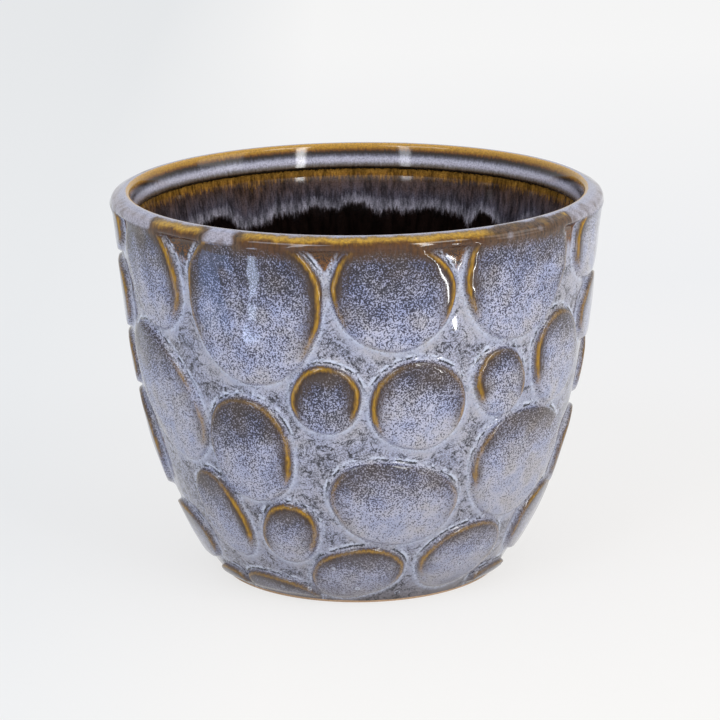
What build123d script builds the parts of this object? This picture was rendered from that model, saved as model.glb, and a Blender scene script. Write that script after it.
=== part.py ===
from build123d import *
from math import cos, sin, radians, sqrt, pi
import os

# Stoneware cachepot, all sizes in millimetres, standing on z = 0, +Z up, its front towards -Y.
# The body is one fired piece, so the model is one closed solid.

# Overall form
pot_height = 127.0
rim_radius = 80.0          # greatest outer radius, at the plain band under the rim
foot_radius = 46.5         # outer edge of the foot ring
wall = 6.5                 # from a pebble's face to the inside
floor_thickness = 7.0      # of the floor, over the hollow in the foot

# Rim
rim_band = 3.6             # height of the rim with its plain band, over the pebbles
shoulder_fall = 1.75       # the top slopes down this much from the crest to the outside
shoulder_round = 2.1       # rounding of the outer shoulder
crest_width = 6.0          # from the outside in to the crest's inner edge
crest_flat = 2.2           # width of the level crest before the top slopes away
crest_round = 1.5          # rounding of the crest's inner edge
lip_reach = 8.0            # the inner lip lies this far in from the outside
lip_drop = 8.0             # and this far below the crest
lip_round = 0.6            # rounding of the lip's lower edge
lip_undercut = 1.2         # height of the step back under the lip

# Foot
foot_width = 5.0           # of the ring that the pot stands on
foot_hollow = 2.5          # depth of the hollow inside the ring
foot_bevel = 0.8           # bevel along the ring's inner edges
foot_band = 2.6            # plain band between the ground and the lowest pebbles

# Pebble relief
relief = 2.0               # the pebbles stand this far out of the web between them
flank_run = 0.9            # width of a pebble's sloping flank
pebble_root = 1.5          # depth to which a pebble is carried into the wall
edge_points = 10           # points along each pebble's outline

# Swell of the wall between foot and rim: the two middle points of its curve,
# each as a share of the rim radius and a share of the pot's height
swell_shares = ((0.9875, 0.350), (0.9475, 0.758))
# The same for the inside, starting from the flat of the floor
inside_shares = ((0.28, 0), (0.66, 0), (0.90, 0.28), (0.853, 0.72))

# The pebbles. Each row: direction round the pot in degrees (0 is the front, 90 the right side),
# height of its middle as a share of the pot's height, half width and half height as shares
# of the rim radius, lean in degrees, and how much its top is narrower than its bottom.
pebble_shares = (
    # top row, running into the rim
    (-25.4, 0.813, 0.286, 0.304, -4, -0.12),
    (8, 0.854, 0.244, 0.215, -20, -0.07),
    (40.3, 0.874, 0.267, 0.256, -12, -0.10),
    (73.5, 0.909, 0.212, 0.175, 0, 0),
    (105, 0.827, 0.206, 0.256, -8, -0.05),
    (134, 0.874, 0.240, 0.200, 12, 0),
    (164, 0.819, 0.256, 0.281, -14, -0.10),
    (195.5, 0.882, 0.238, 0.194, -10, 0),
    (223.5, 0.835, 0.194, 0.250, 10, -0.06),
    (249, 0.886, 0.188, 0.194, -15, 0),
    (-85, 0.938, 0.206, 0.138, 0, 0),
    (-57, 0.858, 0.183, 0.231, 28, -0.08),
    # small and middling pebbles half way up
    (-86, 0.744, 0.206, 0.138, -10, 0),
    (-8, 0.591, 0.134, 0.139, -20, 0),
    (14.6, 0.571, 0.193, 0.181, -15, 0),
    (36.5, 0.606, 0.120, 0.145, 24, 0),
    (57.3, 0.633, 0.166, 0.198, 25, 0.08),
    (79.5, 0.709, 0.185, 0.128, 10, 0),
    (95, 0.524, 0.165, 0.140, 0, 0),
    (116, 0.579, 0.150, 0.165, 20, 0),
    (139, 0.602, 0.200, 0.160, -15, 0),
    (163, 0.512, 0.165, 0.144, 20, 0),
    (190, 0.611, 0.212, 0.170, 12, 0),
    (217, 0.553, 0.181, 0.181, -20, 0),
    (242.5, 0.650, 0.169, 0.156, 20, 0),
    (256, 0.500, 0.119, 0.131, 0, 0),
    (-87, 0.567, 0.150, 0.106, -10, 0),
    (-57.3, 0.546, 0.190, 0.300, 38, 0.08),
    # large pebbles where the wall draws in
    (-28.9, 0.441, 0.181, 0.225, 4, 0),
    (9.4, 0.303, 0.262, 0.190, -14, -0.10),
    (48, 0.364, 0.266, 0.242, -12, -0.12),
    (88, 0.311, 0.181, 0.175, -20, 0),
    (118, 0.343, 0.219, 0.181, 12, 0.05),
    (149, 0.280, 0.200, 0.175, -15, 0),
    (181, 0.327, 0.238, 0.162, -10, 0),
    (212, 0.307, 0.165, 0.190, 20, 0),
    (239, 0.323, 0.165, 0.206, -14, 0.06),
    (-85, 0.354, 0.181, 0.212, 18, 0),
    # low pebbles
    (-43.3, 0.238, 0.119, 0.204, 12, 0.08),
    (-21, 0.213, 0.116, 0.152, -19, 0),
    (-1.5, 0.101, 0.194, 0.136, 18, 0.10),
    (34, 0.126, 0.197, 0.159, 24, 0),
    (69, 0.165, 0.156, 0.162, -20, 0),
    (98, 0.124, 0.156, 0.131, 12, 0),
    (128, 0.122, 0.169, 0.131, -14, 0),
    (160, 0.087, 0.162, 0.100, 8, 0),
    (192, 0.118, 0.175, 0.131, 14, 0.05),
    (225, 0.110, 0.162, 0.125, -12, 0),
    (256, 0.126, 0.138, 0.131, 10, 0),
    (-70, 0.130, 0.169, 0.131, -5, 0),
    # pebbles that the foot cuts off
    (-30, 0.030, 0.165, 0.075, -12, 0),
    (-55, 0.024, 0.095, 0.062, 0, 0),
    (57, 0.024, 0.125, 0.056, 0, 0),
)

band_bottom = pot_height - rim_band
floor_height = foot_hollow + floor_thickness
under_lip = pot_height - lip_drop - lip_undercut


def wall_points(inset):
    """The four points of the wall's curve, from the foot to the band, moved in by the inset."""
    start = (foot_radius + relief - inset, 0)
    middle = [(radius_share * rim_radius - inset, height_share * pot_height)
              for radius_share, height_share in swell_shares]
    end = (rim_radius - inset, band_bottom - inset * flank_run / relief)
    return [start, *middle, end]


def point_on_wall(height):
    """Radius of the pebble faces at a height, and the wall's direction there, going up."""
    p = wall_points(0)
    low = 0
    high = 1
    # halve the stretch of curve that holds the height until it is as good as a point
    for _ in range(40):
        t = (low + high) / 2
        weights = ((1 - t) ** 3, 3 * (1 - t) ** 2 * t, 3 * (1 - t) * t ** 2, t ** 3)
        if sum(w * q[1] for w, q in zip(weights, p)) < height:
            low = t
        else:
            high = t
    radius = sum(w * q[0] for w, q in zip(weights, p))
    slopes = ((1 - t) ** 2, 2 * (1 - t) * t, t ** 2)
    run = sum(s * (b[0] - a[0]) for s, a, b in zip(slopes, p, p[1:]))
    rise = sum(s * (b[1] - a[1]) for s, a, b in zip(slopes, p, p[1:]))
    length = sqrt(run ** 2 + rise ** 2)
    return radius, run / length, rise / length


def pot_section():
    """Half section of the pot without its pebbles, drawn as radius and height."""
    ring_inside = foot_radius - foot_width
    outside = wall_points(relief)
    underside = Polyline(
        (0, foot_hollow),
        (ring_inside - foot_bevel, foot_hollow),
        (ring_inside, foot_hollow - foot_bevel),
        (ring_inside, foot_bevel),
        (ring_inside + foot_bevel, 0),
        outside[0],
    )
    crest_radius = rim_radius - crest_width
    flank = Line(outside[-1], (rim_radius, band_bottom))
    crest_start = (crest_radius + crest_flat, pot_height)
    shoulder = FilletPolyline(
        (rim_radius, band_bottom),
        (rim_radius, pot_height - shoulder_fall),
        crest_start,
        radius=shoulder_round,
    )
    crest_and_lip = FilletPolyline(
        crest_start,
        (crest_radius, pot_height),
        (rim_radius - lip_reach, pot_height - lip_drop),
        (rim_radius - wall, under_lip),
        radius=[crest_round, lip_round],
    )
    inside = [(radius_share * rim_radius, floor_height + height_share * (under_lip - floor_height))
              for radius_share, height_share in inside_shares]
    hollow = Bezier((rim_radius - wall, under_lip), *reversed(inside))
    floor = Polyline(inside[0], (0, floor_height), (0, foot_hollow))
    return make_face([*underside.edges(), Bezier(*outside), flank, *shoulder.edges(),
                      *crest_and_lip.edges(), hollow, *floor.edges()])


def pebble_shell():
    """Section of the shell that pebbles are cut from, from their roots out to their faces."""
    faces = wall_points(0)
    roots = wall_points(relief + pebble_root)
    shell = make_face([Bezier(*faces), Line(faces[-1], roots[-1]), Bezier(*reversed(roots)),
                       Line(roots[0], faces[0])])
    plain_band = Pos(0, foot_band / 2) * Rectangle(4 * rim_radius, foot_band)
    return shell - plain_band


def turned(section):
    """A half section turned round the pot's axis."""
    return revolve(Plane.XZ * section, Axis.Z)


def pebble_prism(direction, height_share, width_share, tall_share, lean, taper_share):
    """Prism that stands square on the wall and narrows outwards along the pebble's flanks.

    Its outline is an oval, x = a cos t (1 - taper sin t), y = b sin t, turned by the lean.
    """
    half_width = width_share * rim_radius
    half_height = tall_share * rim_radius
    height = height_share * pot_height
    radius, run, rise = point_on_wall(height)
    turn = radians(direction)
    out = Vector(sin(turn), -cos(turn), 0)
    across = Vector(cos(turn), sin(turn), 0)
    middle = out * radius + Vector(0, 0, height)
    plane = Plane(origin=middle, x_dir=across, z_dir=out * rise - Vector(0, 0, run))

    def fall(x):
        """How far the round wall lies behind the plane, at a distance to the side."""
        return radius - sqrt(radius ** 2 - x ** 2)

    def outline(level):
        """The oval at a level over the plane: it has its nominal size half way up its flank."""
        points = []
        for step in range(edge_points):
            t = 2 * pi * step / edge_points
            u = half_width * cos(t) * (1 - taper_share * sin(t))
            v = half_height * sin(t)
            x = u * cos(radians(lean)) - v * sin(radians(lean))
            y = u * sin(radians(lean)) + v * cos(radians(lean))
            narrowing = (level + fall(x) + relief / 2) * flank_run / relief
            size = 1 - narrowing / sqrt(x ** 2 + y ** 2)
            points.append((x * size, y * size))
        return plane.offset(level) * make_face(Spline(*points, periodic=True))

    depth = fall(max(half_width, half_height)) + relief + 2 * pebble_root
    return loft([outline(-depth), outline(relief)], ruled=True)


shell = turned(pebble_shell())
pebbles = [pebble_prism(*row) & shell for row in pebble_shares]
pot = turned(pot_section()).fuse(*pebbles)

os.makedirs("parts", exist_ok=True)
export_step(pot, "parts/pot.step")
print("pot:", len(pot.solids()), "solid,", len(pebbles), "pebbles")
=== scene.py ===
# %% [markdown]
# # A stoneware cachepot with a pebble relief and a reactive glaze
#
# The object is one fired piece: a round pot with raised pebbles on its wall, a rolled rim with
# an inner lip, and a foot ring. It is dipped in a glaze that breaks amber where it runs thin,
# over edges, and turns a speckled lavender blue where it lies thick. The lesson builds the pot
# as one surface computed with numpy, and gets the glaze from one material that knows how far
# each point is from the nearest pebble's edge.

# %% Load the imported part
import math
import bpy
import numpy as np
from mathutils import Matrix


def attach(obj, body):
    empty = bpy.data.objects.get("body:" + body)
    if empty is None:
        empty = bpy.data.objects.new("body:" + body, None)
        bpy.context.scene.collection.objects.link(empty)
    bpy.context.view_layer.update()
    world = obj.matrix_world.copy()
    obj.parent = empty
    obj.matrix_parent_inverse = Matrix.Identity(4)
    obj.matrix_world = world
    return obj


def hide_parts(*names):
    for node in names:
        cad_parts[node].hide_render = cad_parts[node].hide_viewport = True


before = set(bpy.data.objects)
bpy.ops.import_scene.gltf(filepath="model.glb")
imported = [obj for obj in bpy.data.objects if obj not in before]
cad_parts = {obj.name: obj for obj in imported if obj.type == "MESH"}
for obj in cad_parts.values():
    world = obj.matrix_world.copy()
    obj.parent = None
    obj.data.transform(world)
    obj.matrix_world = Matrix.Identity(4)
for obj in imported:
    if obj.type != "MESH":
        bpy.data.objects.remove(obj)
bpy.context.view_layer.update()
print("CAD nodes:", sorted(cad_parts))

# %% [markdown]
# ## Camera
#
# The photograph was taken with a long lens from a little above the rim. A camera that is matched
# to the picture, and not placed by eye, lets every later comparison be about the pot itself.
# Its distance, height and tilt were fitted to the ellipses of the rim, lip and foot. Blender
# takes the lens in mm for a sensor 36 mm wide: the lens in pixels times 36, divided by the
# picture's width.

# %% Camera
MM = 0.001
picture_px = 720
focal_px = 2800.0
middle_px = 358.51
camera_distance = 894.43
camera_height = 309.05
camera_pitch = math.radians(15.075)
camera_roll = math.radians(-0.551)

right = np.array([1.0, 0.0, 0.0])
ahead = np.array([0.0, math.cos(camera_pitch), -math.sin(camera_pitch)])
upward = np.cross(right, ahead)
camera_matrix = np.eye(4)
camera_matrix[:3, 0] = right * math.cos(camera_roll) + upward * math.sin(camera_roll)
camera_matrix[:3, 1] = upward * math.cos(camera_roll) - right * math.sin(camera_roll)
camera_matrix[:3, 2] = -ahead
camera_matrix[:3, 3] = (0.0, -camera_distance * MM, camera_height * MM)

camera = bpy.data.objects.new("camera", bpy.data.cameras.new("camera"))
bpy.context.scene.collection.objects.link(camera)
camera.data.sensor_width = 36.0
camera.data.lens = focal_px / picture_px * camera.data.sensor_width
camera.data.shift_x = (picture_px / 2 - middle_px) / picture_px
camera.matrix_world = camera_matrix.T.tolist()
bpy.context.scene.camera = camera
print("lens", round(camera.data.lens, 1), "mm, shift", round(camera.data.shift_x, 4))

# %% [markdown]
# ## Section of the pot
#
# A jiggered pot is a turned form, so one section line describes all of it but the pebbles.
# The line starts under the middle of the foot, runs out over the foot ring, up the wall, over
# the rolled rim and its lip, and down the inside to the middle of the floor. All sizes are in
# millimetres and are the ones of the CAD model. The wall comes first: a Bezier curve, measured
# by its length, because the glaze and the pebbles need places along it.

# %% Sizes and the wall's curve
pot_height = 127.0
rim_radius = 80.0
foot_radius = 46.5
rim_band = 3.6
relief = 2.0
flank_run = 0.9
foot_band = 2.6
band_bottom = pot_height - rim_band
# the two middle points of the wall's curve, as shares of the rim radius and of the height
swell_shares = ((0.9875, 0.350), (0.9475, 0.758))


def bezier(corners, t):
    """Points on a Bezier curve of any order: neighbouring corners are blended by the share t
    again and again until one point is left for each t."""
    p = np.asarray(corners, float)[:, None, :] + np.zeros((1, len(t), 1))
    while len(p) > 1:
        p = p[:-1] * (1 - t)[None, :, None] + p[1:] * t[None, :, None]
    return p[0]


swell = [(radius * rim_radius, height * pot_height) for radius, height in swell_shares]
wall_corners = ((foot_radius + relief, 0), *swell, (rim_radius, band_bottom))
wall_curve = bezier(wall_corners, np.linspace(0, 1, 3001))
wall_length = np.concatenate(([0], np.cumsum(np.hypot(*np.diff(wall_curve, axis=0).T))))
wall_top = wall_length[-1]
print("the wall is", round(wall_top, 1), "mm long from the ground to the band")

# %% [markdown]
# ## The pebbles
#
# Each pebble is an egg-shaped raised field, leaning a little, and no two are alike. They were
# probably modelled by hand in the master for the mould. A table holds for each where it lies,
# how large it is and how it leans. Looks that the kiln gave it stand beside: how strongly the
# glaze broke amber at its left, right and top, and how brown its face is.

# %% Table of pebbles
# direction in degrees, height share, half width share, half height share, lean, taper,
# then amber at the left, right and top, and brownness of the face
pebble_shares = (
    (-25.4, 0.813, 0.286, 0.304, -4, -0.12, 0.60, 1.00, 0.80, 0.40),
    (8, 0.854, 0.244, 0.215, -20, -0.07, 1.00, 0.90, 1.00, 0.45),
    (40.3, 0.874, 0.267, 0.256, -12, -0.10, 1.00, 0.40, 0.50, 0.70),
    (73.5, 0.909, 0.212, 0.175, 0, 0, 1.00, 0.30, 0.60, 0.25),
    (105, 0.827, 0.206, 0.256, -8, -0.05, 0.70, 0.90, 0.80, 0.40),
    (134, 0.874, 0.240, 0.200, 12, 0, 1.00, 0.60, 0.90, 0.55),
    (164, 0.819, 0.256, 0.281, -14, -0.10, 0.60, 1.00, 0.70, 0.45),
    (195.5, 0.882, 0.238, 0.194, -10, 0, 0.90, 0.50, 1.00, 0.60),
    (223.5, 0.835, 0.194, 0.250, 10, -0.06, 0.50, 0.90, 0.80, 0.35),
    (249, 0.886, 0.188, 0.194, -15, 0, 0.90, 0.80, 0.90, 0.50),
    (-85, 0.938, 0.206, 0.138, 0, 0, 0.40, 0.90, 0.50, 0.30),
    (-57, 0.858, 0.183, 0.231, 28, -0.08, 0.20, 1.00, 0.30, 0.80),
    (-86, 0.744, 0.206, 0.138, -10, 0, 0.40, 0.90, 0.40, 0.30),
    (-8, 0.591, 0.134, 0.139, -20, 0, 1.00, 1.10, 1.30, 0.90),
    (14.6, 0.571, 0.193, 0.181, -15, 0, 1.00, 0.60, 0.15, 0.75),
    (36.5, 0.606, 0.120, 0.145, 24, 0, 0.90, 0.60, 0.15, 0.80),
    (57.3, 0.633, 0.166, 0.198, 25, 0.08, 0.90, 0.30, 0.35, 0.60),
    (79.5, 0.709, 0.185, 0.128, 10, 0, 0.70, 0.30, 0.40, 0.35),
    (95, 0.524, 0.165, 0.140, 0, 0, 0.60, 0.50, 0.60, 0.50),
    (116, 0.579, 0.150, 0.165, 20, 0, 0.90, 0.50, 0.90, 0.60),
    (139, 0.602, 0.200, 0.160, -15, 0, 0.50, 0.90, 0.60, 0.40),
    (163, 0.512, 0.165, 0.144, 20, 0, 1.00, 0.90, 1.10, 0.70),
    (190, 0.611, 0.212, 0.170, 12, 0, 0.90, 0.30, 0.60, 0.45),
    (217, 0.553, 0.181, 0.181, -20, 0, 0.40, 0.90, 0.70, 0.50),
    (242.5, 0.650, 0.169, 0.156, 20, 0, 0.80, 0.70, 0.80, 0.55),
    (256, 0.500, 0.119, 0.131, 0, 0, 0.90, 0.90, 1.00, 0.70),
    (-87, 0.567, 0.150, 0.106, -10, 0, 0.30, 0.70, 0.40, 0.40),
    (-57.3, 0.546, 0.190, 0.300, 38, 0.08, 0.15, 0.45, 0.10, 0.40),
    (-28.9, 0.441, 0.181, 0.225, 4, 0, 0.25, 0.85, 0.30, 0.60),
    (9.4, 0.303, 0.262, 0.190, -14, -0.10, 0.45, 0.30, 0.00, 0.50),
    (48, 0.364, 0.266, 0.242, -12, -0.12, 0.50, 0.10, 0.10, 0.60),
    (88, 0.311, 0.181, 0.175, -20, 0, 0.60, 0.30, 0.40, 0.45),
    (118, 0.343, 0.219, 0.181, 12, 0.05, 0.70, 0.40, 0.50, 0.50),
    (149, 0.280, 0.200, 0.175, -15, 0, 0.40, 0.80, 0.60, 0.55),
    (181, 0.327, 0.238, 0.162, -10, 0, 0.70, 0.20, 0.40, 0.45),
    (212, 0.307, 0.165, 0.190, 20, 0, 0.40, 0.90, 0.70, 0.60),
    (239, 0.323, 0.165, 0.206, -14, 0.06, 0.80, 0.40, 0.60, 0.50),
    (-85, 0.354, 0.181, 0.212, 18, 0, 0.30, 0.60, 0.40, 0.40),
    (-43.3, 0.238, 0.119, 0.204, 12, 0.08, 0.10, 1.00, 0.30, 0.70),
    (-21, 0.213, 0.116, 0.152, -19, 0, 0.70, 0.90, 1.00, 0.80),
    (-1.5, 0.101, 0.194, 0.136, 18, 0.10, 0.60, 0.45, 0.60, 0.60),
    (34, 0.126, 0.197, 0.159, 24, 0, 0.80, 0.30, 0.40, 0.60),
    (69, 0.165, 0.156, 0.162, -20, 0, 0.60, 0.30, 0.60, 0.50),
    (98, 0.124, 0.156, 0.131, 12, 0, 0.60, 0.60, 0.80, 0.55),
    (128, 0.122, 0.169, 0.131, -14, 0, 0.50, 0.80, 0.90, 0.60),
    (160, 0.087, 0.162, 0.100, 8, 0, 0.60, 0.60, 1.00, 0.70),
    (192, 0.118, 0.175, 0.131, 14, 0.05, 0.80, 0.50, 0.90, 0.55),
    (225, 0.110, 0.162, 0.125, -12, 0, 0.50, 0.90, 0.80, 0.60),
    (256, 0.126, 0.138, 0.131, 10, 0, 0.60, 0.60, 0.90, 0.60),
    (-70, 0.130, 0.169, 0.131, -5, 0, 0.20, 0.60, 0.60, 0.55),
    (-30, 0.030, 0.165, 0.075, -12, 0, 0.30, 0.40, 0.70, 0.90),
    (-55, 0.024, 0.095, 0.062, 0, 0, 0.20, 0.30, 0.60, 0.70),
    (57, 0.024, 0.125, 0.056, 0, 0, 0.30, 0.30, 0.70, 0.70),
)

# some pebbles came out paler (above 0) or darker than the others, counted from 0 in the table
paler = {
    0: -0.08, 1: -0.24, 2: -0.20, 11: 0.05, 13: -0.30, 14: 0.04, 15: -0.08, 18: -0.1, 22: 0.1,
    27: 0.25, 29: 0.14, 30: 0.18, 33: -0.1, 36: 0.1, 38: 0.15, 39: 0.05, 41: 0.22, 44: 0.1,
    47: -0.1,
}
print(len(pebble_shares), "pebbles,", len(paler), "of them paler or darker than the rest")

# %% [markdown]
# ## How far a point is from a pebble's edge
#
# On the unrolled wall a pebble is an oval, a little fuller than an ellipse and narrower at one
# end, turned by its lean. The measure rho is 1 on such an oval and grows outwards, so (rho - 1)
# divided by the slope of rho is the distance in millimetres, negative on the pebble. The distance
# serves twice: it shapes the flank, and later it tells the glaze where the edge is.

# %% Distance to the pebbles
oval_power = 2.15
least_slope = 0.6


def pebble_field(azimuth, along):
    """Signed distance in mm to the nearest pebble's outline, that pebble's number, and the
    place inside it as two shares from -1 to 1, across and up. With p the place across over the
    half width there, and q the place up over the half height, rho is (|p|^n + |q|^n)^(1/n)."""
    n = oval_power
    nearest = np.full(azimuth.shape, 1e3)
    owner = np.zeros(azimuth.shape, int)
    across = np.zeros(azimuth.shape)
    up = np.zeros(azimuth.shape)
    for number, row in enumerate(pebble_shares):
        direction, height_share, width_share, tall_share, lean, taper = row[:6]
        a, b = width_share * rim_radius, tall_share * rim_radius
        middle = np.interp(height_share * pot_height, wall_curve[:, 1], wall_length)
        radius = np.interp(height_share * pot_height, wall_curve[:, 1], wall_curve[:, 0])
        x = (np.mod(azimuth - math.radians(direction) + math.pi, 2 * math.pi) - math.pi) * radius
        y = along - middle
        turn = math.radians(lean)
        u = x * math.cos(turn) + y * math.sin(turn)
        v = y * math.cos(turn) - x * math.sin(turn)
        narrow = 1 - taper * np.clip(v / b, -1.3, 1.3)
        p, q = u / (a * narrow), v / b
        rho = (np.abs(p) ** n + np.abs(q) ** n + 1e-9) ** (1 / n)
        pull_p = np.abs(p) ** (n - 1) * np.sign(p) / rho ** (n - 1)
        pull_q = np.abs(q) ** (n - 1) * np.sign(q) / rho ** (n - 1)
        slope_u = pull_p / (a * narrow)
        slope_v = pull_q / b + pull_p * u * taper / (a * narrow ** 2 * b)
        distance = (rho - 1) / np.maximum(np.hypot(slope_u, slope_v), least_slope / max(a, b))
        closer = distance < nearest
        nearest = np.where(closer, distance, nearest)
        owner = np.where(closer, number, owner)
        across = np.where(closer, x / a, across)
        up = np.where(closer, y / b, up)
    return nearest, owner, across, up


print("distance at the middle of the first pebble:",
      np.round(pebble_field(np.radians([-25.4]), np.array([108.0]))[0], 1), "mm")

# %% [markdown]
# ## The raised field
#
# The pebbles of the top row run into the plain band of the rim, and the foot cuts off the lowest
# ones. Thick glaze rounds every inner corner, so the distances are joined by a smallest value
# with a rounded corner. The outlines waver a little, as modelled ones do.

# %% Distance to all that is raised
outline_waver = 0.25
rim_blend = 1.4
foot_blend = 0.8


def soft_min(a, b, reach):
    """The smaller of two distances, with the corner between them rounded over a reach: a blend
    of both, less reach times the share of one times the share of the other."""
    mix = np.clip(0.5 + 0.5 * (b - a) / reach, 0, 1)
    return b * (1 - mix) + a * mix - reach * mix * (1 - mix)


def raised_field(azimuth, along):
    """Signed distance to the edge of all that is raised: pebbles and rim band, cut at the foot.
    The distance to the pebbles alone comes second, then what else pebble_field gives."""
    pebble, owner, across, up = pebble_field(azimuth, along)
    pebble = pebble + (outline_waver * np.sin(7 * azimuth + 0.21 * along)
                       * np.sin(0.23 * along + 5 * azimuth))
    nearest = soft_min(pebble, wall_top - flank_run / 2 - along, rim_blend)
    foot_along = np.interp(foot_band, wall_curve[:, 1], wall_length)
    nearest = -soft_min(-nearest, along - foot_along, foot_blend)
    return nearest, pebble, owner, across, up


def smooth_step(x, low, high):
    """0 below low, 1 above high, and an even S between them: 6 t^5 - 15 t^4 + 10 t^3."""
    t = np.clip((x - low) / (high - low), 0, 1)
    return t * t * t * (t * (6 * t - 15) + 10)


def ripple(points, size, seed):
    """Gentle unevenness, mostly between -1 and 1: plane waves about one size long, in random
    directions, added up and divided by the root of their number."""
    waves = 20
    chance = np.random.default_rng(seed)
    way = chance.normal(size=(3, waves))
    way *= (2 * math.pi / size) * chance.uniform(0.6, 1.5, waves) / np.linalg.norm(way, axis=0)
    phase = chance.uniform(0, 2 * math.pi, waves)
    return np.sin(points @ way + phase).sum(-1) / math.sqrt(waves) * 0.9


print("at the rim band's lower edge the distance is",
      np.round(raised_field(np.array([0.0]), np.array([wall_top]))[0], 2), "mm")

# %% [markdown]
# ## A grid that gathers at the edges
#
# A plain grid fine enough for a flank under a millimetre wide would have a million faces. This
# one has a point about every millimetre, and then slides its points towards the nearest edge,
# so that the flanks get a point every third of a millimetre and the flat fields fewer.

# %% The outside wall as a grid
columns = 528
wall_rows = 146
first_along = 0.6
slide_share = 0.42
slide_reach = 1.5
probe = 0.05

azimuth_line = np.arange(columns) * 2 * math.pi / columns
along_line = np.linspace(first_along, wall_top, wall_rows)
along, azimuth = np.meshgrid(along_line, azimuth_line, indexing="ij")
radius_here = np.interp(along, wall_length, wall_curve[:, 0])
for _ in range(2):
    here = raised_field(azimuth, along)[0]
    beside = raised_field(azimuth + probe / radius_here, along)[0]
    over = raised_field(azimuth, along + probe)[0]
    pull_x, pull_y = (beside - here) / probe, (over - here) / probe
    pull = np.maximum(np.hypot(pull_x, pull_y), 0.3)
    move = -slide_share * here * np.exp(-(here / slide_reach) ** 2)
    move *= smooth_step(along, first_along, 2.2) * smooth_step(wall_top - along, 0, 1.2)
    azimuth = azimuth + move * pull_x / pull / radius_here
    along = along + move * pull_y / pull
    radius_here = np.interp(along, wall_length, wall_curve[:, 0])

edge, pebble_edge, owner, across, up = raised_field(azimuth, along)
print("wall grid", edge.shape, "share of points within 1 mm of an edge:",
      round(float((np.abs(edge) < 1).mean()), 2))

# %% [markdown]
# ## The relief
#
# A cast pebble has a rounded flank, and its face dips a little just inside the edge, because the
# glaze drew back from it. Each point is lifted out of the web by an S of its distance, less a dip
# that is deepest at the edge and fades inwards. The rim band has no dip. Last comes the slight
# unevenness of a pot that was shaped by hand and fired.

# %% Wall points from the relief
half_flank = 0.85
dip = 0.30
dip_reach = 1.6
no_dip_height = 3.0

height_here = np.interp(along, wall_length, wall_curve[:, 1])
raised = smooth_step(-edge, -half_flank, half_flank)
lift = relief * raised - dip * np.exp(np.minimum(edge, 0) / dip_reach) * raised
lift += dip * smooth_step(along, wall_top - no_dip_height, wall_top)
wall_radius = radius_here - relief + lift
wall_points = np.stack(
    (wall_radius * np.sin(azimuth), -wall_radius * np.cos(azimuth), height_here), -1)
uneven = 0.10 * ripple(wall_points, 26, 3) + 0.05 * ripple(wall_points, 9, 4)
uneven *= smooth_step(along, first_along, 6) * smooth_step(wall_top - along, 0, 6)
wall_points[..., 0] += uneven * np.sin(azimuth)
wall_points[..., 1] -= uneven * np.cos(azimuth)
print("wall spans", np.round(wall_points.min((0, 1)), 1), np.round(wall_points.max((0, 1)), 1))

# %% [markdown]
# ## Rim, lip, inside and foot
#
# The rest is the turned section. The rounded corners are short circular arcs. The rim keeps the
# wall's columns, because its outline shows against the background. The inside and the underside
# have a quarter as many: four fine edges meet one coarse edge in a seam that lies out of sight.

# %% Rounded corners
def rounded(before, corner, after, radius, count):
    """Points of the arc of a radius that rounds the corner between two straight lines: the
    arc's two ends, seen from its centre, are blended by sines of the angle between them."""
    before, corner, after = (np.asarray(p, float) for p in (before, corner, after))
    start = (before - corner) / np.linalg.norm(before - corner)
    end = (after - corner) / np.linalg.norm(after - corner)
    half = math.acos(float(np.dot(start, end))) / 2
    centre = corner + (start + end) / np.linalg.norm(start + end) * radius / math.sin(half)
    first = corner + start * radius / math.tan(half) - centre
    last = corner + end * radius / math.tan(half) - centre
    t = np.linspace(0, 1, count)[:, None]
    swing = math.pi - 2 * half
    return centre + (np.sin((1 - t) * swing) * first + np.sin(t * swing) * last) / math.sin(swing)


print("a right angle, rounded by 1 mm:", np.round(rounded((0, 2), (0, 0), (2, 0), 1, 3), 2).tolist())

# %% Section line of the rim
wall = 6.5
shoulder_fall = 1.75
shoulder_round = 2.1
crest_width = 6.0
crest_flat = 2.2
crest_round = 1.5
lip_reach = 8.0
lip_drop = 8.0
lip_round = 0.6
lip_undercut = 1.2
crest_edge_round = 0.8

shoulder_corner = (rim_radius, pot_height - shoulder_fall)
crest_start = (rim_radius - crest_width + crest_flat, pot_height)
crest_corner = (rim_radius - crest_width, pot_height)
lip_edge = (rim_radius - lip_reach, pot_height - lip_drop)
lip_under = (rim_radius - wall, pot_height - lip_drop - lip_undercut)
# one point on the sloping top, a touch over the straight line, and two on the inner face
on_slope = (rim_radius - 2.8, pot_height - 0.42)
inner_lean = (lip_reach - crest_width) / lip_drop
inner_face = [(crest_corner[0] - inner_lean * drop, pot_height - drop) for drop in (3.6, 5.8)]
rim_line = np.concatenate((
    rounded((rim_radius, band_bottom), shoulder_corner, crest_start, shoulder_round, 6),
    [on_slope],
    rounded(shoulder_corner, crest_start, crest_corner, crest_edge_round, 2),
    rounded(crest_start, crest_corner, lip_edge, crest_round, 6),
    inner_face,
    rounded(crest_corner, lip_edge, lip_under, lip_round, 4),
    [lip_under],
))
print("rim points", len(rim_line))

# %% Section lines of the inside and the underside
floor_thickness = 7.0
foot_width = 5.0
foot_hollow = 2.5
foot_bevel = 0.8
floor_height = foot_hollow + floor_thickness
inside_rise = lip_under[1] - floor_height
# from under the lip down to the floor, as shares of the rim radius and of the inside's height
inside_shares = ((0.853, 0.72), (0.90, 0.28), (0.66, 0), (0.28, 0))

inside_corners = [lip_under] + [(radius * rim_radius, floor_height + height * inside_rise)
                                for radius, height in inside_shares]
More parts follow.
